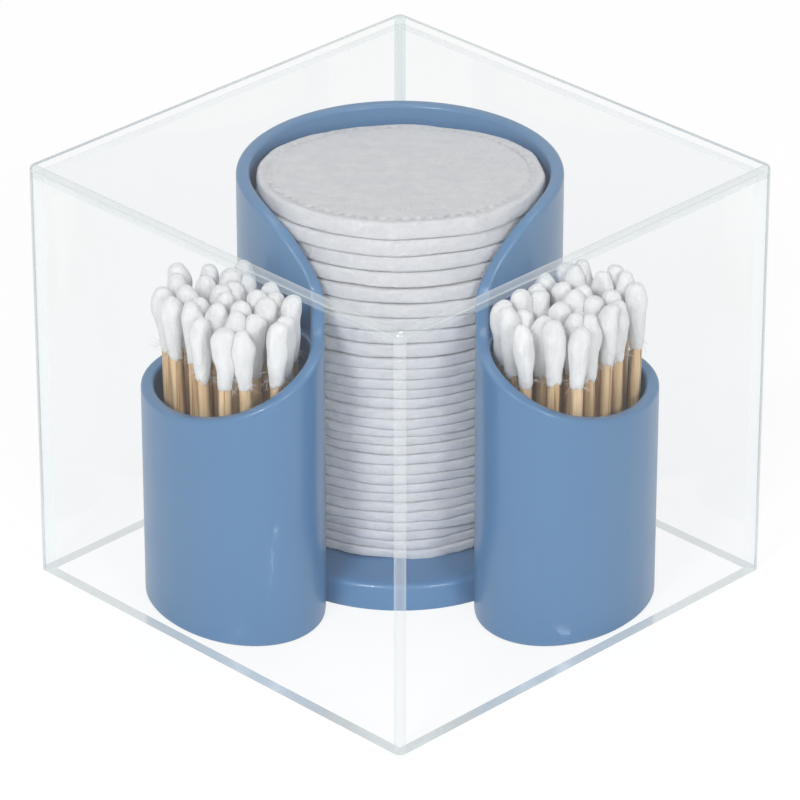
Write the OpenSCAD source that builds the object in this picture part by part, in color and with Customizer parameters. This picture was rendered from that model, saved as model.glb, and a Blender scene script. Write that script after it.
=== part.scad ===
// Cotton pad holder: a one-piece moulded tower for round cotton pads with two
// oval cups for cotton buds, under a clear lift-off dust cover.
// Millimetres, +Z up. The origin is on the table, at the middle of the cover.

/* [Tower] */
// Outside radius of the pad tower
tower_r = 34; // [33.6:0.1:36]
// Height of the tower at its back
tower_h = 82; // [80:0.5:86]
// Thickness of the moulded walls
wall = 2.8; // [2.2:0.1:3]
// Half the width of the finger slot
slot_half = 15.4; // [14:0.1:16]
// Height of the sweep that opens the slot out to the rim
sweep_h = 23; // [18:0.5:24]
// Thickness of the base plate that the pads stand on
base_h = 6; // [4:0.5:8]
// How far the base plate reaches in front of the tower's axis
base_reach = 40.8; // [38:0.2:43]
// Radius of the base plate's front edge
base_r = 31.5; // [30:0.5:34]
// Radius that softens the rims
rim_round = 1.2; // [0.6:0.1:1.3]

/* [Cups] */
// Distance of a cup's middle from the tower's axis, sideways
cup_x = 34.3; // [34:0.1:36]
// Distance of a cup's middle from the tower's axis, forwards
cup_y = 35; // [34:0.1:37]
// Half the length of the oval cup
cup_long = 22.3; // [21.5:0.1:23]
// Half the width of the oval cup
cup_short = 17.05; // [16.5:0.05:17.5]
// Turn of the oval's long axis away from straight across
cup_turn = 55; // [50:1:60]
// Height of the cup's rim at its outer side
cup_h = 48; // [44:0.5:52]
// Height of the cup's rim where it meets the slot
cup_join_h = 62.5; // [60:0.5:66]
// How far the rim hangs below a straight line between those two
cup_rim_sag = 2.6; // [1.5:0.1:4]
// Thickness of the cups' floor
cup_floor = 2.5; // [2:0.1:4]

/* [Cotton pads] */
// Number of pads in the stack
pad_count = 30; // [20:1:30]
// Radius of a pad
pad_r = 30; // [28:0.1:30.4]
// Thickness of a pad low in the stack
pad_t = 2.21; // [2:0.01:2.4]
// How much thicker the loose pad on top is
pad_loose = 1.3; // [0.6:0.1:1.4]
// Number of pads at the top that fan open to the front
fan_count = 9; // [5:1:10]
// Angle that each of those pads adds
fan_step = 0.6; // [0.3:0.05:0.7]

/* [Cotton buds] */
// Length of a bud from tip to tip
bud_len = 69; // [66:0.5:73]
// Radius of the bamboo stick
stick_r = 1.25; // [1:0.05:1.4]
// Radius of the cotton tip
tip_r = 2.35; // [2.1:0.05:2.4]
// Length of the cotton tip
tip_len = 14.3; // [12:0.1:15]
// Spacing of the buds
bud_pitch = 5.15; // [5.1:0.05:5.4]
// Lean of the buds in the left cup, over their length
left_lean = 1.4; // [0:0.1:2.5]
// Lean of the buds in the right cup, over their length
right_lean = 0.3; // [0:0.1:2]
// How far single buds stray from that lean
bud_stray = 0.65; // [0:0.05:0.7]

/* [Cover] */
// Outside height of the clear cover
cover_h = 94; // [92:0.5:110]
// Thickness of the clear sheet
sheet = 2.5; // [2:0.1:4]
// Gap between the holder and the cover's sides
cover_gap = 0.9; // [0.6:0.1:3]

/* [Hidden] */
$fn = 96;
BIG = 200;
BLUE = [0.48, 0.61, 0.76];
COTTON = [0.95, 0.95, 0.96];
BAMBOO = [0.85, 0.71, 0.53];
CLEAR = [0.86, 0.93, 0.95, 0.28];

// The cover is a square turned corner-on. Its sides clear the cups' fronts
// and the back of the tower, which fixes its size and its place.
across = cup_turn + 45;
front_reach = (cup_x + cup_y) / sqrt(2)
    + sqrt(pow(cup_long * cos(across), 2) + pow(cup_short * sin(across), 2));
cover_in = (front_reach + tower_r) / 2 + cover_gap;
cover_out = cover_in + sheet;
tower_y = (front_reach - tower_r) / sqrt(2);

// The cup's rim is an arc in the front view, from its outer side to the slot.
cup_reach = sqrt(pow(cup_long * cos(cup_turn), 2) + pow(cup_short * sin(cup_turn), 2));
rim_run = cup_x + cup_reach - slot_half;
rim_rise = cup_join_h - cup_h;
rim_chord = sqrt(rim_run * rim_run + rim_rise * rim_rise);
rim_arc_r = (rim_chord * rim_chord / 4 + cup_rim_sag * cup_rim_sag) / (2 * cup_rim_sag);
rim_slope = atan2(rim_rise, rim_run);
rim_mid_x = slot_half + rim_run / 2;
rim_mid_z = (cup_h + cup_join_h) / 2;
rim_arc_x = rim_mid_x + (rim_arc_r - cup_rim_sag) * sin(rim_slope);
rim_arc_z = rim_mid_z + (rim_arc_r - cup_rim_sag) * cos(rim_slope);

// The stack of pads: thickness, lean and place of each pad, from the bottom.
// The pads lie a little out of line, each by its own two angles.
loosening = 6;
pad_stray = 0.34;
side_turn = 137;
front_turn = 71;
function pad_thick(i) = pad_t + pad_loose * pow(i / (pad_count - 1), loosening);
function pad_lean(i) = fan_step * max(0, i + fan_count - pad_count + 1);
function ahead(a) = [-cos(a), sin(a)];
function upward(a) = [sin(a), cos(a)];
function pad_base(i) = i == 0 ? [0, base_h]
    : pad_base(i - 1) + pad_thick(i - 1) * upward(pad_lean(i - 1))
      + pad_r * (ahead(pad_lean(i)) - ahead(pad_lean(i - 1)));
function pad_drift(i) = pad_stray * [sin(side_turn * i), sin(front_turn * i)];
function pad_name(i) = str("cotton_pad_", i < 9 ? "0" : "", i + 1);

// The buds stand on a staggered grid inside the oval, clear of the tower.
bud_rows = 5;
bud_open = 0.05;
bud_slack = 0.25;
lean_share = [1, 0.3];
stray_turns = [9, 11];
stray_start = [70, 20];
neck_r = stick_r + 0.35;
neck_len = 0.8;
bud_margin = wall + tip_r + bud_slack;
function in_oval(p, a, b) = pow(p[0] / a, 2) + pow(p[1] / b, 2) <= 1;
function turned(p, a) = [p[0] * cos(a) - p[1] * sin(a), p[0] * sin(a) + p[1] * cos(a)];
function from_tower(p) = norm(turned(p, -cup_turn) + [-cup_x, -cup_y]);
bud_spots = [
    for (row = [-bud_rows : bud_rows], col = [-bud_rows : bud_rows])
    let (p = bud_pitch * [col + (row % 2 == 0 ? 0 : 0.5), row * sqrt(3) / 2])
    if (in_oval(p, cup_long - bud_margin, cup_short - bud_margin)
        && from_tower(p) > tower_r + tip_r + bud_slack) p
];

// Each cheek runs from the oval's nearest point back to the tower's wall. Its
// top is an arc that leaves the cup's rim level and climbs to the slot's sweep.
cheek_front = 41;
cheek_turn_y = 29;
cheek_back = 26.5;
cheek_low = cup_join_h - 0.6;

// The sweep is a quarter of an oval that runs out at the tower's inner side, a
// hair above the rim, so that it leaves no step there.
sweep_w = tower_r - wall - slot_half;
sweep_top = tower_h + 0.05;
cheek_high = sweep_top - sweep_h + sweep_h * sqrt(1 - pow(1 - wall / sweep_w, 2));
cheek_run = cheek_front - cheek_turn_y;
cheek_rise = cheek_high - cheek_low;
cheek_arc_r = (cheek_run * cheek_run + cheek_rise * cheek_rise) / (2 * cheek_rise);

function oval(a, b, n = 72) = [for (i = [0 : n - 1]) [a * cos(360 * i / n), b * sin(360 * i / n)]];

module at_cup(side) {
    translate([side * cup_x, -cup_y])
        rotate(side * cup_turn)
            children();
}

module cup_plan(side, inset) {
    at_cup(side) polygon(oval(cup_long - inset, cup_short - inset));
}

// Front view of the finger slot: straight sides that sweep out to the rim.
module slot_view() {
    straight_h = sweep_top - sweep_h;
    difference() {
        translate([-BIG / 2, base_h]) square([BIG, BIG]);
        for (s = [-1, 1]) {
            translate([s * (slot_half + sweep_w), straight_h]) polygon(oval(sweep_w, sweep_h, 144));
            translate([s * (slot_half + BIG / 2), straight_h - BIG / 2]) square([BIG, BIG], center = true);
            translate([s * (slot_half + sweep_w + BIG / 2), sweep_top - BIG / 2]) square([BIG, BIG], center = true);
        }
    }
}

// Front view of all that lies above the cups' rims.
module above_cups_view() {
    for (s = [-1, 1]) {
        intersection() {
            translate([s * rim_arc_x, rim_arc_z]) circle(rim_arc_r, $fn = 360);
            translate([s * BIG / 2, BIG / 2]) square([BIG, BIG], center = true);
        }
    }
}

module through(depth) {
    rotate([90, 0, 0]) linear_extrude(depth, center = true) children();
}

// A tube with a rounded rim, turned from its wall's section.
module tower_tube() {
    inner_r = tower_r - wall;
    rotate_extrude() {
        translate([inner_r, 0]) square([wall, tower_h - rim_round]);
        translate([inner_r + rim_round, tower_h - 2 * rim_round])
            square([wall - 2 * rim_round, 2 * rim_round]);
        for (x = [inner_r + rim_round, tower_r - rim_round]) {
            translate([x, tower_h - rim_round]) circle(rim_round, $fn = 32);
        }
    }
}

module tower() {
    difference() {
        tower_tube();
        translate([0, -tower_r, 0]) through(2 * tower_r) slot_view();
    }
}

module cup_walls() {
    difference() {
        linear_extrude(cup_join_h + wall) {
            difference() {
                for (s = [-1, 1]) cup_plan(s, 0);
                for (s = [-1, 1]) cup_plan(s, wall);
                circle(tower_r - wall);
            }
        }
        through(BIG) above_cups_view();
    }
}

// Side view of a cheek.
module cheek_view() {
    difference() {
        translate([-cheek_front, 0]) square([cheek_front - cheek_back, cheek_high]);
        translate([-cheek_front, cheek_low + cheek_arc_r]) circle(cheek_arc_r);
    }
}

// The short cheeks that join the cups to the slot. The slot's own sweep trims
// them, so that the rim turns without a step.
module cheeks() {
    difference() {
        for (s = [-1, 1]) {
            translate([s * (slot_half + wall / 2), 0, 0])
                rotate([90, 0, 90])
                    linear_extrude(wall, center = true) cheek_view();
        }
        through(BIG) slot_view();
        linear_extrude(BIG) {
            for (s = [-1, 1]) cup_plan(s, wall);
            circle(tower_r - wall);
        }
    }
}

module base_plan() {
    circle(tower_r);
    intersection() {
        translate([0, base_r - base_reach]) circle(base_r);
        translate([0, -tower_r]) square([2 * slot_half + wall, 2 * tower_r], center = true);
    }
}

module holder_body() {
    color(BLUE) translate([0, tower_y, 0]) {
        tower();
        cup_walls();
        cheeks();
        linear_extrude(base_h) base_plan();
        linear_extrude(cup_floor) for (s = [-1, 1]) cup_plan(s, wall / 2);
    }
}

// One pad, with the soft round edge of pressed cotton.
module cotton_pad(i) {
    t = pad_thick(i);
    lean = pad_lean(i);
    place = pad_base(i);
    centred = place[0] / cos(lean);
    drift = pad_drift(i);
    color(COTTON)
        translate([drift[0], tower_y + drift[1], place[1] + centred * sin(lean)])
            rotate([-lean, 0, 0])
                rotate_extrude() {
                    square([pad_r - t / 2, t]);
                    translate([pad_r - t / 2, t / 2]) circle(t / 2, $fn = 32);
                }
}

// One bud's parts stand on the origin, before they are leaned and placed.
module bud_tip() {
    dome_z = tip_len - tip_r;
    rotate_extrude($fn = 24) {
        polygon([[0, 0], [neck_r, 0], [neck_r, neck_len], [tip_r, tip_len / 2], [tip_r, dome_z], [0, dome_z]]);
        intersection() {
            translate([0, dome_z]) circle(tip_r, $fn = 32);
            translate([0, dome_z]) square(tip_r);
        }
    }
}

// Every bud of one cup. Each leans by q over its length, about its middle, and
// the bunch opens outwards a little, so that the upper tips stay apart.
module bunch(side, lean) {
    translate([side * cup_x, tower_y - cup_y, cup_floor]) {
        for (spot = bud_spots) {
            p = turned(spot, side * cup_turn);
            stray = bud_stray * [for (k = [0, 1]) sin(stray_turns[k] * p[k] + stray_start[k])];
            q = bud_open * p + lean * [side * lean_share[0], lean_share[1]] + stray;
            fall = atan2(norm(q), bud_len);
            heading = atan2(q[1], q[0]);
            foot = p - q / 2;
            translate([foot[0], foot[1], tip_r * (1 - cos(fall))])
                rotate([0, 0, heading])
                    rotate([0, fall, 0])
                        children();
        }
    }
}

module bud_sticks(side, lean) {
    color(BAMBOO) bunch(side, lean) translate([0, 0, tip_len]) cylinder(bud_len - 2 * tip_len, r = stick_r, $fn = 24);
}

module bud_upper_tips(side, lean) {
    color(COTTON) bunch(side, lean) translate([0, 0, bud_len - tip_len]) bud_tip();
}

module bud_lower_tips(side, lean) {
    color(COTTON) bunch(side, lean) translate([0, 0, tip_len]) mirror([0, 0, 1]) bud_tip();
}

// Four mitred side sheets and a top sheet, turned corner-on.
module cover_side(turn) {
    color(CLEAR) rotate(turn)
        linear_extrude(cover_h - sheet)
            polygon([[cover_in, -cover_in], [cover_out, -cover_out], [cover_out, cover_out], [cover_in, cover_in]]);
}

module cover_top() {
    color(CLEAR) translate([0, 0, cover_h - sheet]) rotate(45)
        linear_extrude(sheet) square(2 * cover_out, center = true);
}

holder_body();
for (i = [0 : pad_count - 1]) {
    cotton_pad(i);
}
bud_sticks(-1, left_lean);  // left_bud_sticks
bud_upper_tips(-1, left_lean);  // left_bud_upper_tips
bud_lower_tips(-1, left_lean);  // left_bud_lower_tips
bud_sticks(1, right_lean);  // right_bud_sticks
bud_upper_tips(1, right_lean);  // right_bud_upper_tips
bud_lower_tips(1, right_lean);  // right_bud_lower_tips
cover_top();
cover_side(-45);  // cover_front_right
cover_side(45);  // cover_back_right
cover_side(135);  // cover_back_left
cover_side(-135);  // cover_front_left
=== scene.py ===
# A blue moulded holder for cotton pads and cotton buds, under a clear acrylic cover.
# Shapes are worked out in millimetres and stored in metres.
import math
import random

import bmesh
import bpy
from mathutils import Matrix, Vector, noise


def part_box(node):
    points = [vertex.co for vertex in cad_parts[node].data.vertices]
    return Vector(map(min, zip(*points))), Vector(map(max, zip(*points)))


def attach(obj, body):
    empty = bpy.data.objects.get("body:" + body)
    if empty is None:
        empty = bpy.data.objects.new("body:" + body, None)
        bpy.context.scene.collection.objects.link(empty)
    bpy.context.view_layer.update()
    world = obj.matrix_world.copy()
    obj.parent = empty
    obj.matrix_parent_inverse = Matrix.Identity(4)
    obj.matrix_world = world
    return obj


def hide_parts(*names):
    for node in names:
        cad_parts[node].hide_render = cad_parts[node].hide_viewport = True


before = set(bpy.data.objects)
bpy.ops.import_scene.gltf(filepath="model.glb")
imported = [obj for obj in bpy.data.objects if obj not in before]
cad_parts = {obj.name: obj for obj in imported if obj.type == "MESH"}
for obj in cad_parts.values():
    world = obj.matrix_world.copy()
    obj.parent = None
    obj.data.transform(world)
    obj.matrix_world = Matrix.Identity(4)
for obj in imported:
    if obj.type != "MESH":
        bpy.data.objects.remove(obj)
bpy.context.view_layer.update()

MM = 0.001
MERGE = 0.0005
UP = Vector((0, 0, 1))

# Sizes that the holder, the pads and the buds share with the construction.
TOWER_R = 34
TOWER_H = 82
WALL = 2.8
SLOT_HALF = 15.4
SWEEP_H = 23
BASE_H = 6
BASE_REACH = 40.8
BASE_R = 31.5
CUP_X = 34.3
CUP_Y = 35
CUP_LONG = 22.3
CUP_SHORT = 17.05
CUP_TURN = math.radians(55)
CUP_H = 48
CUP_JOIN_H = 62.5
CUP_RIM_SAG = 2.6
CUP_FLOOR = 2.5
PAD_COUNT = 30
PAD_R = 30
PAD_T = 2.21
PAD_LOOSE = 1.3
FAN_COUNT = 9
FAN_STEP = 0.6
TIP_LEN = 14.3
TIP_R = 2.35
STICK_R = 1.25
SHEET = 2.5
CORNER_R = 1.7
LID_EDGE_R = 1.2

# The tower's axis stands one radius in front of the holder's back.
TOWER_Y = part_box("holder_body")[1][1] / MM - TOWER_R


def srgb(red, green, blue):
    """A colour as it is seen, from 0 to 255, in the renderer's linear values."""
    def linear(c):
        c = c / 255
        return c / 12.92 if c <= 0.04045 else ((c + 0.055) / 1.055) ** 2.4
    return (linear(red), linear(green), linear(blue), 1)


# Shader helpers

class Value:
    """A socket whose sums and products add their Math nodes."""

    def __init__(self, finish, socket):
        self.finish = finish
        self.socket = socket

    def join(self, operation, first, second):
        return self.finish.node("ShaderNodeMath", {"operation": operation}, {0: first, 1: second})

    def __add__(self, other):
        return self.join("ADD", self, other)

    def __radd__(self, other):
        return self.join("ADD", other, self)

    def __sub__(self, other):
        return self.join("SUBTRACT", self, other)

    def __rsub__(self, other):
        return self.join("SUBTRACT", other, self)

    def __mul__(self, other):
        return self.join("MULTIPLY", self, other)

    def __rmul__(self, other):
        return self.join("MULTIPLY", other, self)

    def most(self, other):
        return self.join("MAXIMUM", self, other)


class Finish:
    """The nodes of one material, or of the air round the stage."""

    def __init__(self, owner):
        owner.use_nodes = True
        self.owner = owner
        self.tree = owner.node_tree
        self.tree.nodes.clear()

    def node(self, kind, settings=None, inputs=None, out=0):
        """One node: its settings first, then the values or links of its sockets."""
        made = self.tree.nodes.new(kind)
        for key, setting in (settings or {}).items():
            if key == "stops":
                ramp = made.color_ramp.elements
                while len(ramp) < len(setting):
                    ramp.new(0.5)
                for stop, (place, colour) in zip(ramp, setting):
                    stop.position = place
                    stop.color = colour
            else:
                setattr(made, key, setting)
        for key, given in (inputs or {}).items():
            if isinstance(given, Value):
                self.tree.links.new(given.socket, made.inputs[key])
            else:
                made.inputs[key].default_value = given
        return Value(self, made.outputs[out]) if made.outputs else made

    def place(self):
        return self.node("ShaderNodeTexCoord", out="Object")

    def stretched(self, scale):
        return self.node("ShaderNodeMapping", inputs={"Vector": self.place(), "Scale": scale})

    def cloud(self, scale, where=None, detail=3, rough=0.55, twist=0):
        return self.node("ShaderNodeTexNoise", inputs={
            "Vector": where or self.place(), "Scale": scale, "Detail": detail,
            "Roughness": rough, "Distortion": twist})

    def ramp(self, factor, stops):
        return self.node("ShaderNodeValToRGB", {"stops": stops}, {"Fac": factor})

    def blend(self, factor, first, second):
        colours = {0: factor, 6: first, 7: second}
        return self.node("ShaderNodeMix", {"data_type": "RGBA"}, colours, out=2)

    def bump(self, height, strength, depth):
        return self.node("ShaderNodeBump", inputs={
            "Height": height, "Strength": strength, "Distance": depth})

    def principled(self, inputs):
        return self.node("ShaderNodeBsdfPrincipled", inputs=inputs)

    def seen_ray(self):
        """One for what the camera sees, straight on, mirrored or through the clear cover, and
        nought for the light that falls on the pieces."""
        camera, glossy, passed, scattered = (
            self.node("ShaderNodeLightPath", out=name)
            for name in ("Is Camera Ray", "Is Glossy Ray", "Is Transmission Ray", "Diffuse Depth"))
        direct = self.node("ShaderNodeMath", {"operation": "LESS_THAN"}, {0: scattered, 1: 0.5})
        return camera.most(glossy * 0.5).most(passed) * direct

    def pass_through(self, colour):
        return self.node("ShaderNodeBsdfTransparent", inputs={"Color": colour})

    def mirror(self, roughness):
        return self.node("ShaderNodeBsdfGlossy", inputs={"Color": (1, 1, 1, 1), "Roughness": roughness})

    def mixed(self, factor, first, second):
        return self.node("ShaderNodeMixShader", inputs={0: factor, 1: first, 2: second})

    def surface(self, shader):
        """Ends the material in a shader and returns it."""
        self.node("ShaderNodeOutputMaterial", inputs={"Surface": shader})
        return self.owner


def blue_plastic():
    finish = Finish(bpy.data.materials.new("blue_plastic"))
    haze = finish.cloud(14, detail=2)
    grain = finish.cloud(2600, detail=2)
    colour = finish.blend(haze, srgb(84, 128, 171), srgb(90, 135, 178))
    return finish.surface(finish.principled({
        "Base Color": colour,
        "Roughness": 0.3 + 0.08 * haze,
        "IOR": 1.5,
        "Coat Weight": 0.3,
        "Coat Roughness": 0.08,
        "Normal": finish.bump(grain, 0.05, 0.00005),
    }))


def pressed_cotton():
    finish = Finish(bpy.data.materials.new("pressed_cotton"))
    fibres = finish.cloud(900, detail=6, rough=0.75, twist=2.5)
    clumps = finish.cloud(300, finish.stretched((1, 1, 1.6)), detail=4, rough=0.65, twist=0.6)
    shade = finish.ramp(fibres * 0.5 + clumps * 0.5, [
        (0.34, srgb(232, 233, 238)), (0.6, srgb(249, 249, 251))])
    return finish.surface(finish.principled({
        "Base Color": shade,
        "Roughness": 0.95,
        "Specular IOR Level": 0.2,
        "Sheen Weight": 0.25,
        "Normal": finish.bump(fibres + clumps * 0.8, 0.8, 0.0006),
    }))


def wound_cotton():
    finish = Finish(bpy.data.materials.new("wound_cotton"))
    wraps = finish.cloud(520, finish.stretched((1, 1, 0.28)), detail=5, rough=0.7, twist=1.2)
    fibres = finish.cloud(2600, detail=3)
    shade = finish.ramp(wraps, [(0.3, srgb(236, 236, 237)), (0.7, srgb(250, 250, 250))])
    return finish.surface(finish.principled({
        "Base Color": shade,
        "Roughness": 0.95,
        "Specular IOR Level": 0.2,
        "Sheen Weight": 0.25,
        "Subsurface Weight": 0.6,
        "Subsurface Radius": (1, 1, 1),
        "Subsurface Scale": 0.0012,
        "Normal": finish.bump(wraps + fibres * 0.3, 0.8, 0.0006),
    }))


def bamboo():
    finish = Finish(bpy.data.materials.new("bamboo"))
    tone = finish.node("ShaderNodeAttribute", {"attribute_name": "tone"}, out="Fac")
    grain = finish.cloud(1500, finish.stretched((1, 1, 0.02)), detail=4, rough=0.65)
    streak = finish.ramp(grain, [
        (0.36, srgb(168, 126, 84)), (0.45, srgb(226, 192, 148)), (0.66, srgb(247, 222, 184))])
    colour = finish.blend(tone * 0.35, streak, srgb(222, 184, 138))
    return finish.surface(finish.principled({
        "Base Color": colour,
        "Roughness": 0.6 + 0.15 * grain,
        "Normal": finish.bump(grain, 0.35, 0.0001),
    }))


def clear_acrylic():
    """A thin clear sheet: it mirrors a little, more so at a slant, and lets the rest through."""
    finish = Finish(bpy.data.materials.new("clear_acrylic"))
    rim = finish.node("ShaderNodeFresnel", inputs={"IOR": 1.49})
    outside = 1 - finish.node("ShaderNodeNewGeometry", out="Backfacing")
    clear = finish.pass_through((0.99, 0.994, 0.995, 1))
    return finish.surface(finish.mixed(rim * outside * 0.8, clear, finish.mirror(0.02)))


def polished_corner():
    """The rounded edges turn milkier and mirror more at a slant, most of all where they run into the
    flat faces. There their see-through part is also tinted darker: painted shade in place of the dark
    lines that refraction draws along a real edge.
    """
    finish = Finish(bpy.data.materials.new("polished_corner"))
    cloud = finish.cloud(70, detail=2)
    slant = finish.node("ShaderNodeLayerWeight", inputs={"Blend": 0.5}, out="Facing")
    body = finish.principled({"Base Color": srgb(240, 246, 247), "Roughness": 0.15, "IOR": 1.49})
    pale = finish.pass_through((0.96, 0.975, 0.975, 1))
    # Painted shade: the see-through tint below turns darker at a slant, in place of the dark lines that
    # refraction draws at the edge of a real sheet.
    painted_dark_tint = finish.pass_through((0.6, 0.7, 0.71, 1))
    milky_and_painted_shade = finish.mixed(0.04 + 0.1 * cloud + slant * 0.4, finish.mixed(slant, pale, painted_dark_tint), body)
    return finish.surface(finish.mixed(0.1 + slant * 0.6, milky_and_painted_shade, finish.mirror(0.14)))


def cement_joint():
    """The bonded faces between two sheets, a little hazy with cement."""
    finish = Finish(bpy.data.materials.new("cement_joint"))
    haze = finish.cloud(55, finish.stretched((1, 1, 0.3)), detail=3)
    body = finish.principled({"Base Color": srgb(238, 244, 246), "Roughness": 0.3})
    return finish.surface(finish.mixed(0.04 + 0.35 * haze, finish.pass_through((0.99, 1, 1, 1)), body))


# Mesh helpers

def piece(name, bm, material, body, sharp_from=40):
    """Stores a mesh made in millimetres as a piece that rides on a body. Its edges are sharp from
    the given angle, and where two materials meet."""
    bmesh.ops.remove_doubles(bm, verts=bm.verts, dist=MERGE)
    bmesh.ops.recalc_face_normals(bm, faces=bm.faces)
    bmesh.ops.scale(bm, vec=(MM, MM, MM), verts=bm.verts)
    for face in bm.faces:
        face.smooth = True
    for edge in bm.edges:
        alike = len({face.material_index for face in edge.link_faces}) < 2
        edge.smooth = alike and edge.calc_face_angle(0) < math.radians(sharp_from)
    mesh = bpy.data.meshes.new(name)
    bm.to_mesh(mesh)
    bm.free()
    made = bpy.data.objects.new(name, mesh)
    bpy.context.scene.collection.objects.link(made)
    for each in material if isinstance(material, list) else [material]:
        mesh.materials.append(each)
    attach(made, body)
    return made


def ring(bm, points):
    """A closed loop of edges through the given points."""
    verts = [bm.verts.new(point) for point in points]
    return [bm.edges.new((verts[i], verts[i - 1])) for i in range(len(verts))]


def loft(bm, rings):
    """Bridges each ring of edges to the next and closes both ends."""
    for first, second in zip(rings, rings[1:]):
        bmesh.ops.bridge_loops(bm, edges=first + second)
    for end in (rings[0], rings[-1]):
        bmesh.ops.contextual_create(bm, geom=end)


def spun(bm, profile, steps):
    """Turns a half section, as points of radius and height, about the Z axis."""
    verts = [bm.verts.new((r, 0, z)) for r, z in profile]
    edges = [bm.edges.new(pair) for pair in zip(verts, verts[1:])]
    bmesh.ops.spin(bm, geom=verts + edges, axis=UP, cent=(0, 0, 0), dvec=(0, 0, 0),
                   angle=2 * math.pi, steps=steps, use_merge=True, use_duplicate=False)
    bmesh.ops.remove_doubles(bm, verts=bm.verts, dist=MERGE)


def raised(bm, outline, height):
    """A flat sheet with the given outline, standing on the table. Returns its upper face."""
    edges = ring(bm, [(x, y, 0) for x, y in outline])
    floor = bmesh.ops.contextual_create(bm, geom=edges)["faces"]
    grown = bmesh.ops.extrude_face_region(bm, geom=floor)["geom"]
    verts = [each for each in grown if isinstance(each, bmesh.types.BMVert)]
    bmesh.ops.translate(bm, vec=(0, 0, height), verts=verts)
    return [each for each in grown if isinstance(each, bmesh.types.BMFace)]


def rounded(bm, edges, radius, segments):
    """Rounds the given edges."""
    bmesh.ops.bevel(bm, geom=edges, offset=radius, segments=segments, profile=0.5,
                    affect="EDGES", material=-1)


def pointing(spot, way):
    """The matrix that takes a shape made along Z to a spot and points it along a way."""
    return Matrix.Translation(spot) @ way.to_track_quat("Z", "Y").to_matrix().to_4x4()


def add_to(bm, single):
    """Adds a small mesh to a large one. Operators on the small one stay quick."""
    mesh = bpy.data.meshes.new("single")
    single.to_mesh(mesh)
    single.free()
    bm.from_mesh(mesh)
    bpy.data.meshes.remove(mesh)


# The blue moulding

# The middle of the wall, in plan: the tower's circle, the cheek beside the slot, and the small
# turn by which the one swings forward into the other.
MID_R = TOWER_R - WALL / 2
CHEEK_X = SLOT_HALF + WALL / 2
TURN_R = 3
TURN_X = CHEEK_X + TURN_R
TURN_Y = -math.sqrt((MID_R + TURN_R) ** 2 - TURN_X ** 2)
LEAVE = math.atan2(TURN_Y, TURN_X)

# The middle of a cup's wall, and the turn of its oval at the place nearest to the slot.
CUP_LONG_MID = CUP_LONG - WALL / 2
CUP_SHORT_MID = CUP_SHORT - WALL / 2
CUP_NEAR = math.atan2(-CUP_SHORT_MID * math.sin(CUP_TURN), CUP_LONG_MID * math.cos(CUP_TURN)) + math.pi

# The arc that the cups' rims follow, seen from the front.
CUP_REACH = math.hypot(CUP_LONG * math.cos(CUP_TURN), CUP_SHORT * math.sin(CUP_TURN))
RIM_RUN = CUP_X + CUP_REACH - SLOT_HALF
RIM_RISE = CUP_JOIN_H - CUP_H
RIM_CHORD = math.hypot(RIM_RUN, RIM_RISE)
RIM_ARC_R = (RIM_CHORD ** 2 / 4 + CUP_RIM_SAG ** 2) / (2 * CUP_RIM_SAG)
RIM_SLOPE = math.atan2(RIM_RISE, RIM_RUN)
RIM_ARC_X = SLOT_HALF + RIM_RUN / 2 + (RIM_ARC_R - CUP_RIM_SAG) * math.sin(RIM_SLOPE)
RIM_ARC_Z = (CUP_H + CUP_JOIN_H) / 2 + (RIM_ARC_R - CUP_RIM_SAG) * math.cos(RIM_SLOPE)


def slot_edge_height(x):
    """Height of the tower's wall in its front half, where the slot sweeps out to the rim along a
    quarter of an oval."""
    reach = max(0, 1 - (x - SLOT_HALF) / (MID_R - SLOT_HALF))
    return TOWER_H - SWEEP_H + SWEEP_H * math.sqrt(1 - reach ** 2)


def cup_rim_height(x):
    """Height of the cup's sloping, slightly sagging rim."""
    return RIM_ARC_Z - math.sqrt(RIM_ARC_R ** 2 - (x - RIM_ARC_X) ** 2)


def on_cup(turn):
    """A place on the middle of the right cup's wall, in plan."""
    a, b = CUP_LONG_MID * math.cos(turn), CUP_SHORT_MID * math.sin(turn)
    return (CUP_X + a * math.cos(CUP_TURN) - b * math.sin(CUP_TURN),
            -CUP_Y + a * math.sin(CUP_TURN) + b * math.cos(CUP_TURN))


def tower_path():
    """From the middle of the tower's back round its right side to the small turn."""
    back = math.pi / 2
    steps = 110
    path = []
    for i in range(steps + 1):
        angle = back + (LEAVE - back) * i / steps
        x, y = MID_R * math.cos(angle), MID_R * math.sin(angle)
        path.append((x, y, slot_edge_height(x) if y < 0 else TOWER_H))
    return path


def cheek_path(start):
    """Through the small turn and forward along the cheek, while the wall's edge comes down in
    one curve from where the tower's leaves it to the cup's rim."""
    join_x, join_y = on_cup(CUP_NEAR)
    turn_from = LEAVE + math.pi
    turn_steps = 8
    cheek_steps = 12
    plan = []
    for i in range(1, turn_steps + 1):
        angle = turn_from + (math.pi - turn_from) * i / turn_steps
        plan.append((TURN_X + TURN_R * math.cos(angle), TURN_Y + TURN_R * math.sin(angle)))
    for i in range(1, cheek_steps + 1):
        share = i / cheek_steps
        plan.append((CHEEK_X + (join_x - CHEEK_X) * share, TURN_Y + (join_y - TURN_Y) * share))

    lengths = [0]
    for first, second in zip([start[:2]] + plan, plan):
        lengths.append(lengths[-1] + math.dist(first, second))
    total = lengths[-1]
    top, low = start[2], cup_rim_height(join_x)
    end_slope = 1.7
    path = []
    for (x, y), far in zip(plan, lengths[1:]):
        ahead = 1 - far / total
        ease = 3 * ahead ** 2 - 2 * ahead ** 3
        steep = total * end_slope * (ahead ** 3 - ahead ** 2)
        path.append((x, y, low + (top - low) * ease + steep))
    return path


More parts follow.
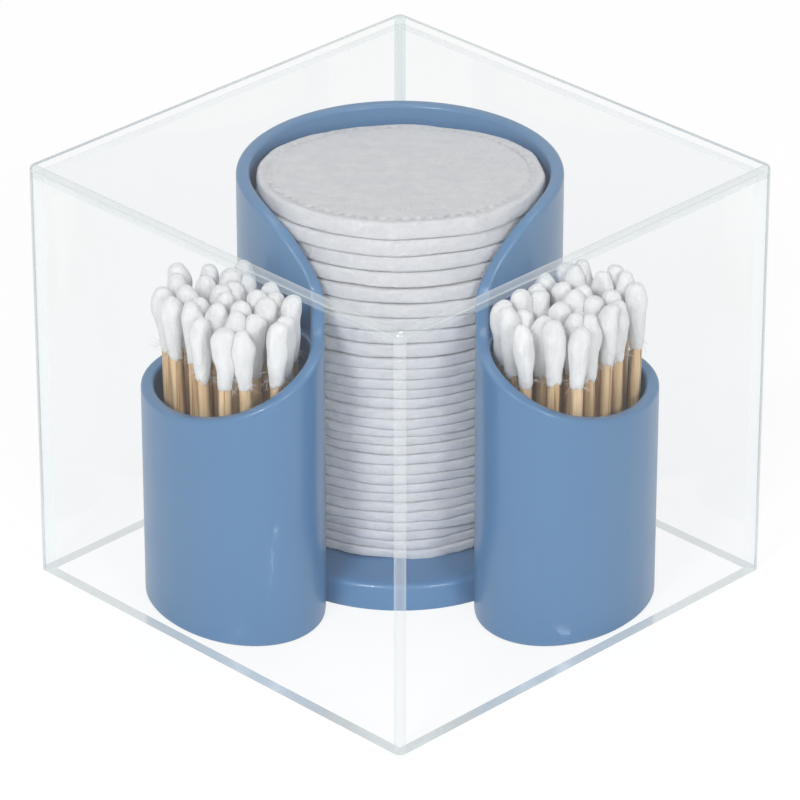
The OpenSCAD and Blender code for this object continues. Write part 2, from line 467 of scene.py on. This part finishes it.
def cup_path():
    """On round the cup, until its wall has run into the tower's."""
    buried = 0.3
    steps = 120
    path = []
    for i in range(1, steps):
        x, y = on_cup(CUP_NEAR + 2 * math.pi * i / steps)
        path.append((x, y, cup_rim_height(x)))
        if i > steps / 2 and math.hypot(x, y) < MID_R + buried:
            break
    return path


def eased(path, passes):
    """Evens out the bends where one stretch of the path runs into the next."""
    for _ in range(passes):
        inner = [tuple((a + 2 * b + c) / 4 for a, b, c in zip(*three))
                 for three in zip(path, path[1:], path[2:])]
        path = [path[0]] + inner + [path[-1]]
    return path


def wall_section(height):
    """The wall's section, up the outer face, over its rounded rim and down the inner face."""
    half = WALL / 2
    foot = 0.35
    corner = 0.8
    steps = 6
    outer, inner = [], []
    for i in range(steps + 1):
        angle = math.pi / 2 * i / steps
        side = half - corner + corner * math.cos(angle)
        up = height - corner + corner * math.sin(angle)
        outer.append((-side, up))
        inner.insert(0, (side, up))
    return ([(-half + foot, 0), (-half, foot), (-half, height / 2)] + outer
            + inner + [(half, height / 2), (half, foot), (half - foot, 0)])


def moulded_wall(bm):
    """One ribbon of wall, from inside the left cup's end round the tower to the right cup's."""
    tower = tower_path()
    right = eased(tower + cheek_path(tower[-1]) + cup_path(), passes=8)
    whole = [(-x, y, height) for x, y, height in reversed(right[1:])] + right
    rings = []
    for i, (x, y, height) in enumerate(whole):
        before = whole[max(i - 1, 0)]
        after = whole[min(i + 1, len(whole) - 1)]
        along = Vector((after[0] - before[0], after[1] - before[1], 0)).normalized()
        across = along.cross(UP)
        spot = Vector((x, y, 0))
        rings.append(ring(bm, [spot + across * aside + UP * up for aside, up in wall_section(height)]))
    loft(bm, rings)


def plate(bm, outline, thickness, softness):
    """A flat plate with softened upper edges, standing on the table."""
    lid = raised(bm, outline, thickness)
    rounded(bm, [edge for face in lid for edge in face.edges], softness, segments=4)


def base_outline():
    """The base's bowed front edge between the cheeks, then round the back under the tower."""
    steps = 24
    outline = []
    for i in range(steps + 1):
        x = -CHEEK_X + 2 * CHEEK_X * i / steps
        outline.append((x, BASE_R - BASE_REACH - math.sqrt(BASE_R ** 2 - x ** 2)))
    start = math.atan2(-math.sqrt(MID_R ** 2 - CHEEK_X ** 2), CHEEK_X)
    sweep = math.pi - 2 * start
    steps = 72
    for i in range(steps + 1):
        angle = start + sweep * i / steps
        outline.append((MID_R * math.cos(angle), MID_R * math.sin(angle)))
    return outline


def holder_moulding():
    """The whole blue moulding: the wall, the base between the cups and the cups' floors."""
    bm = bmesh.new()
    moulded_wall(bm)
    plate(bm, base_outline(), BASE_H, softness=1.4)
    steps = 64
    oval = [on_cup(2 * math.pi * i / steps) for i in range(steps)]
    for side in (-1, 1):
        plate(bm, [(side * x, y) for x, y in oval], CUP_FLOOR, softness=0.3)
    bmesh.ops.translate(bm, vec=(0, TOWER_Y, 0), verts=bm.verts)
    made = piece("holder_moulding", bm, blue_plastic(), "holder")
    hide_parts("holder_body")


# The cotton pads

# A pad lies flat out to FLAT_R, and swells and sinks with its neighbours from there to its edge.
FLAT_R = 22
SWELL = 0.5
DROOP = 0.4
DOT_COUNT = 72
DOTS_FROM = 27
DOTS_TO = 27.9
DOT_RISE = 0.3
DOT_GROOVE = 0.6


def pad_section(thickness):
    """Half of a pad's section, from the middle of its underside round to the middle of its top.
    The rings between DOTS_FROM and DOTS_TO take the pressed dots."""
    under = [0, 9, 18, 24, 27.5]
    edge = [(0.42, 0), (0.13, 0.05), (0.02, 0.17), (0, 0.45), (0.02, 0.78), (0.13, 0.94), (0.42, 1)]
    over = [28.9, 28.2, 27.7, 27.2, 26.7, 26.2, 22, 16, 8, 0]
    return ([(r, 0) for r in under]
            + [(PAD_R - inset, share * thickness) for inset, share in edge]
            + [(r, thickness) for r in over])


def cut_edge(spot, shift):
    """How far a pad's edge strays outwards from a true circle."""
    return noise.noise(spot * 0.14 + shift) * 0.5 + noise.noise(spot * 0.9 + shift) * 0.14 - 0.14


def pressed_top(spot, r, shift):
    """Height that the ring of dots and the give of the cotton add to a pad's upper face."""
    soft = noise.noise(spot * 0.11 + shift) * 0.12 + noise.noise(spot * 0.5 + shift) * 0.06
    if DOTS_FROM < r < DOTS_TO:
        fold = math.atan2(spot.y, spot.x) * DOT_COUNT / (2 * math.pi)
        return soft + (DOT_RISE if abs(fold - round(fold)) < 0.26 else -DOT_GROOVE)
    return soft - (0.08 if r > DOTS_TO else 0)


def cotton_pad(number, material):
    """A pressed pad. Neighbours share the same gentle swell, so the stack stays closed, and the
    fanned ones sag at the front, down towards the pad below."""
    name = f"cotton_pad_{number:02d}"
    low, high = (Vector(corner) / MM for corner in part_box(name))
    thickness = PAD_T + PAD_LOOSE * ((number - 1) / (PAD_COUNT - 1)) ** 6
    lean = math.radians(FAN_STEP * max(0, number + FAN_COUNT - PAD_COUNT))
    droop = DROOP if lean else 0
    bm = bmesh.new()
    spun(bm, pad_section(thickness), steps=216 if number == PAD_COUNT else 144)
    chance = random.Random(number)
    shift = Vector((chance.uniform(-50, 50), chance.uniform(-50, 50), number * 3.7))
    for v in bm.verts:
        r = math.hypot(v.co.x, v.co.y)
        up = v.co.z / thickness
        level = (number + up) * 0.22
        rim = min(1, max(0, (r - FLAT_R) / (PAD_R - FLAT_R))) ** 2
        swell = noise.noise(Vector((v.co.x * 0.06, v.co.y * 0.06, level))) * SWELL * rim
        if r > PAD_R - 1:
            push = cut_edge(v.co, shift)
            v.co.x += v.co.x / r * push
            v.co.y += v.co.y / r * push
        if up > 0.5:
            relief = pressed_top(v.co, r, shift)
        else:
            relief = 0.05 if r > DOTS_TO else 0
        sag = droop * max(0, -v.co.y / PAD_R) * (1 - up)
        v.co.z += swell + relief - sag
    turn = Matrix.Rotation(-lean, 4, "X")
    middle = (low + high) / 2
    place = Matrix.Translation(middle) @ turn @ Matrix.Translation((0, 0, -thickness / 2))
    bmesh.ops.transform(bm, matrix=place, verts=bm.verts)
    made = piece(name + "_felt", bm, material, "holder", sharp_from=80)
    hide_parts(name)


# The cotton buds

def stick_ends(node):
    """Lower and upper end of each stick of a bunch, in millimetres, read from the frame."""
    bm = bmesh.new()
    bm.from_mesh(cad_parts[node].data)
    bmesh.ops.remove_doubles(bm, verts=bm.verts, dist=1e-6)
    seen = set()
    ends = []
    for first in bm.verts:
        if first in seen:
            continue
        seen.add(first)
        group = [first]
        for v in group:
            for edge in v.link_edges:
                other = edge.other_vert(v)
                if other not in seen:
                    seen.add(other)
                    group.append(other)
        middle = sum(v.co.z for v in group) / len(group)
        halves = []
        for upper in (False, True):
            half = [v.co for v in group if (v.co.z > middle) == upper]
            halves.append(sum(half, Vector()) / len(half) / MM)
        ends.append(halves)
    bm.free()
    return sorted(ends, key=lambda pair: (round(pair[0].x, 2), round(pair[0].y, 2)))


def settled(ends, seed):
    """The buds as they have come to rest: none quite upright, none quite of one height."""
    chance = random.Random(seed)
    loose = []
    for low, high in ends:
        aside = Vector((chance.uniform(-0.9, 0.9), chance.uniform(-0.9, 0.9), 0))
        rise = (high - low).normalized() * chance.uniform(-1.0, 0.5)
        loose.append((low, high + aside + rise))
    return loose


def tip_profile():
    """Radius and distance from the stick's end of a wound cotton tip."""
    shape = [(0, -0.02), (0.54, -0.04), (0.61, -0.01), (0.63, 0.04), (0.66, 0.12), (0.74, 0.23),
             (0.86, 0.36), (0.95, 0.49), (1, 0.62), (1, 0.73), (0.94, 0.83), (0.81, 0.91),
             (0.59, 0.965), (0.31, 0.992), (0, 1)]
    return [(r * TIP_R, z * TIP_LEN) for r, z in shape]


def winding(spot, up, seed):
    """How much the cotton stands out at a spot of a tip: broad lumps, creases along the tip and
    bands round it, all fainter towards the neck."""
    crease = Vector((spot.x * 0.9, spot.y * 0.9, spot.z * 0.16))
    band = Vector((spot.x * 0.25, spot.y * 0.25, spot.z * 1.1))
    lumps = noise.noise(spot * 0.3 + seed) * 0.42
    fine = (noise.noise(spot * 1.6 + seed) * 0.07 - abs(noise.noise(crease + seed)) * 0.12
            + noise.noise(band - seed) * 0.1)
    return (lumps + fine) * min(1, up + 0.35)


def wound_tips(node, sticks, material, upper):
    """A wound cotton tip on one end of each stick, no two of them alike."""
    bm = bmesh.new()
    chance = random.Random(len(node))
    for low, high in sticks:
        along = (high - low).normalized()
        single = bmesh.new()
        spun(single, tip_profile(), steps=26 if upper else 12)
        seed = Vector((chance.uniform(-90, 90), chance.uniform(-90, 90), chance.uniform(-90, 90)))
        plump = chance.uniform(0.99, 1.11)
        tall = chance.uniform(0.92, 1.02)
        bend = Vector((chance.uniform(-1, 1), chance.uniform(-1, 1), 0)) * 0.7
        for v in single.verts:
            up = min(1, max(0, v.co.z / TIP_LEN))
            grow = plump * (1 + winding(v.co, up, seed)) - 0.03
            v.co.x *= grow
            v.co.y *= grow
            ragged = noise.noise(Vector((v.co.x, v.co.y, 0)) + seed) * max(0, 1 - 9 * up)
            v.co.z = v.co.z * tall + 1.3 * ragged
            v.co += bend * up ** 2
        place = pointing(high, along) if upper else pointing(low, -along)
        bmesh.ops.transform(single, matrix=place, verts=single.verts)
        add_to(bm, single)
    made = piece(node + "_wound", bm, material, "holder", sharp_from=80)
    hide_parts(node)
    if upper:
        smooth = made.modifiers.new("smooth", "SUBSURF")
        smooth.levels = 1
        smooth.render_levels = 1


def loose_fibres(node, sticks, material):
    """Stray cotton fibres round the neck of each upper tip."""
    bm = bmesh.new()
    chance = random.Random(len(node) + 11)
    fibre_r = 0.045
    fibres = 16
    bends = 5
    for low, high in sticks:
        along = (high - low).normalized()
        for _ in range(fibres):
            angle = chance.uniform(0, 2 * math.pi)
            out = Vector((math.cos(angle), math.sin(angle), 0))
            spot = high + along * chance.uniform(-0.2, 2.5) + out * STICK_R * 1.15
            way = (out * chance.uniform(0.2, 0.9) + out.cross(UP) * chance.uniform(-0.9, 0.9)
                   - UP * chance.uniform(0.0, 0.9)).normalized()
            bend = Vector([chance.uniform(-0.9, 0.9) for _ in range(3)])
            single = bmesh.new()
            start = bmesh.ops.create_circle(single, cap_ends=True, segments=3, radius=fibre_r,
                                            matrix=pointing(spot, way))
            face = start["verts"][0].link_faces[0]
            for _ in range(bends):
                face = bmesh.ops.extrude_discrete_faces(single, faces=[face])["faces"][0]
                way = (way + bend * 0.5).normalized()
                bmesh.ops.translate(single, vec=way * chance.uniform(0.3, 0.6), verts=face.verts)
            open_end = [edge for edge in single.edges if edge.is_boundary]
            bmesh.ops.holes_fill(single, edges=open_end, sides=3)
            add_to(bm, single)
    piece(node + "_fibres", bm, material, "holder", sharp_from=80)


def bamboo_sticks(node, sticks, material):
    """Plain round sticks that reach a little way into their tips, each of its own tone."""
    bm = bmesh.new()
    tone = bm.verts.layers.float.new("tone")
    chance = random.Random(len(node) + 5)
    reach = 1.5
    for low, high in sticks:
        shade = chance.random()
        made = bmesh.ops.create_cone(bm, cap_ends=True, segments=16, radius1=STICK_R, radius2=STICK_R,
                                     depth=(high - low).length + 2 * reach,
                                     matrix=pointing((low + high) / 2, (high - low).normalized()))
        for v in made["verts"]:
            v[tone] = shade
    made = piece(node + "_bamboo", bm, material, "holder")
    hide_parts(node)


# The clear cover

# The finishes of a sheet's faces, by number. Nought is the clear acrylic of its flat faces.
POLISHED = 1
CEMENTED = 2


def cover_wall(turn, inner, outer, top, name, finishes):
    """One side of the cover: a mitred sheet whose outer corners are rounded across the mitre."""
    steps = 6
    half = []
    for i in range(steps + 1):
        angle = math.pi / 4 * (1 - i / steps)
        half.append((outer - CORNER_R + CORNER_R * math.cos(angle),
                     outer - CORNER_R + CORNER_R * math.sin(angle)))
    plan = [(x, -y) for x, y in half] + half[::-1] + [(inner, inner), (inner, -inner)]
    bm = bmesh.new()
    raised(bm, plan, top)
    bm.normal_update()
    for face in bm.faces:
        normal = face.normal
        middle = face.calc_center_median()
        if abs(normal.z) > 0.9:
            face.material_index = CEMENTED if middle.z > top / 2 else POLISHED
        elif abs(middle.y) > inner / 2:
            slanted = abs(abs(normal.x) - abs(normal.y)) < 0.01
            mitre = slanted and abs(middle.x - abs(middle.y)) < 0.01 * outer
            face.material_index = CEMENTED if mitre and normal.x < 0 else POLISHED
    around = Matrix.Rotation(math.radians(turn), 3, "Z")
    bmesh.ops.rotate(bm, verts=bm.verts, cent=(0, 0, 0), matrix=around)
    made = piece(name + "_acrylic", bm, finishes, "cover", sharp_from=20)
    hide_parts(name)


def cover_lid(inner, outer, low, high, finishes):
    """The top sheet, with rounded corners and a softened upper edge. Its underside is cut along
    the walls' inner faces, so that the strip cemented to them has its own finish."""
    bm = bmesh.new()
    bmesh.ops.create_cube(bm, size=1)
    bmesh.ops.scale(bm, vec=(2 * outer, 2 * outer, high - low), verts=bm.verts)
    bmesh.ops.translate(bm, vec=(0, 0, (low + high) / 2), verts=bm.verts)
    upright = [edge for edge in bm.edges if abs(edge.verts[0].co.z - edge.verts[1].co.z) > 1]
    rounded(bm, upright, CORNER_R, segments=12)
    upper = [edge for edge in bm.edges if all(v.co.z > high - 0.01 for v in edge.verts)]
    rounded(bm, upper, LID_EDGE_R, segments=6)
    for x, y in ((inner, 0), (-inner, 0), (0, inner), (0, -inner)):
        bm.normal_update()
        under = [face for face in bm.faces if face.normal.z < -0.9]
        edges = list(dict.fromkeys(edge for face in under for edge in face.edges))
        verts = list(dict.fromkeys(v for face in under for v in face.verts))
        bmesh.ops.bisect_plane(bm, geom=under + edges + verts, plane_co=(x, y, 0), plane_no=(x, y, 0))
    bm.normal_update()
    for face in bm.faces:
        middle = face.calc_center_median()
        if face.normal.z < -0.9 and max(abs(middle.x), abs(middle.y)) > inner:
            face.material_index = CEMENTED
        elif max(abs(part) for part in face.normal) < 0.999:
            face.material_index = POLISHED
    bmesh.ops.rotate(bm, verts=bm.verts, cent=(0, 0, 0), matrix=Matrix.Rotation(math.pi / 4, 3, "Z"))
    made = piece("cover_top_acrylic", bm, finishes, "cover", sharp_from=20)
    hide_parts("cover_top")


def clear_cover():
    """Five bonded sheets, square in plan and turned corner-on."""
    low, high = (Vector(corner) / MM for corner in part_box("cover_top"))
    outer = high.x / math.sqrt(2)
    inner = outer - SHEET
    finishes = [clear_acrylic(), polished_corner(), cement_joint()]
    cover_lid(inner, outer, low.z, high.z, finishes)
    for name, turn in (("cover_front_right", -45), ("cover_back_right", 45),
                       ("cover_back_left", 135), ("cover_front_left", -135)):
        cover_wall(turn, inner, outer, low.z, name, finishes)


# The stage

def photo_camera():
    """Looks down at the front at the photograph's slant, with the whole cover in the picture."""
    sensor = 36
    picture = 800
    pixels_per_mm = 4.85
    distance = 1.15
    elevation = math.radians(28)
    target = Vector((0, -0.003, 0.0415))
    camera = bpy.data.cameras.new("camera")
    camera.sensor_width = sensor
    camera.lens = sensor * pixels_per_mm * distance / MM / picture
    camera.clip_start = 0.05
    eye = bpy.data.objects.new("camera", camera)
    eye.location = target + distance * Vector((0, -math.cos(elevation), math.sin(elevation)))
    eye.rotation_euler = (math.pi / 2 - elevation, 0, 0)
    bpy.context.scene.collection.objects.link(eye)
    bpy.context.scene.camera = eye


def lamp(name, place, size, power):
    """A round lamp that points at the middle of the holder."""
    light = bpy.data.lights.new(name, "AREA")
    light.shape = "DISK"
    light.size = size
    light.energy = power
    made = bpy.data.objects.new(name, light)
    made.location = place
    way = Vector((0, 0, 0.04)) - Vector(place)
    made.rotation_euler = way.to_track_quat("-Z", "Y").to_euler()
    bpy.context.scene.collection.objects.link(made)


def studio_air():
    """Plain light from all round, and white where it is seen."""
    plain = 0.46
    world = bpy.data.worlds.new("studio_air")
    bpy.context.scene.world = world
    air = Finish(world)
    strength = plain + (1 - plain) * air.seen_ray()
    light = air.node("ShaderNodeBackground", inputs={"Color": (1, 1, 1, 1), "Strength": strength})
    air.node("ShaderNodeOutputWorld", inputs={"Surface": light})


def white_floor():
    """A white table that is seen a little lighter than it is lit, and keeps the shadow. It lies
    a hair lower than the pieces stand, so that no face of theirs shares its plane."""
    hair = 0.1 * MM
    bm = bmesh.new()
    bmesh.ops.create_grid(bm, x_segments=1, y_segments=1, size=3)
    bmesh.ops.translate(bm, vec=(0, 0, -hair), verts=bm.verts)
    mesh = bpy.data.meshes.new("floor")
    bm.to_mesh(mesh)
    bm.free()
    floor = bpy.data.objects.new("floor", mesh)
    bpy.context.scene.collection.objects.link(floor)
    finish = Finish(bpy.data.materials.new("floor_white"))
    diffuse = finish.node("ShaderNodeBsdfDiffuse", inputs={"Color": (0.9, 0.9, 0.9, 1)})
    glow = finish.node("ShaderNodeEmission", inputs={"Color": (1, 1, 1, 1), "Strength": 1.07})
    mesh.materials.append(finish.surface(finish.mixed(finish.seen_ray() * 0.78, diffuse, glow)))


bpy.context.scene.view_settings.view_transform = "Standard"
photo_camera()
lamp("key_light", (-0.45, -0.95, 0.8), size=0.3, power=6.6)
lamp("fill_light", (0.5, -0.95, 0.62), size=0.3, power=3.8)
lamp("back_light", (0.1, 0.35, 1.0), size=0.4, power=1.2)
studio_air()
white_floor()

holder_moulding()
felt = pressed_cotton()
for n in range(1, PAD_COUNT + 1):
    cotton_pad(n, felt)
wound = wound_cotton()
cane = bamboo()
for hand in ("left", "right"):
    ends = settled(stick_ends(hand + "_bud_sticks"), hand)
    bamboo_sticks(hand + "_bud_sticks", ends, cane)
    wound_tips(hand + "_bud_upper_tips", ends, wound, upper=True)
    loose_fibres(hand + "_bud_upper_tips", ends, wound)
    wound_tips(hand + "_bud_lower_tips", ends, wound, upper=False)
clear_cover()
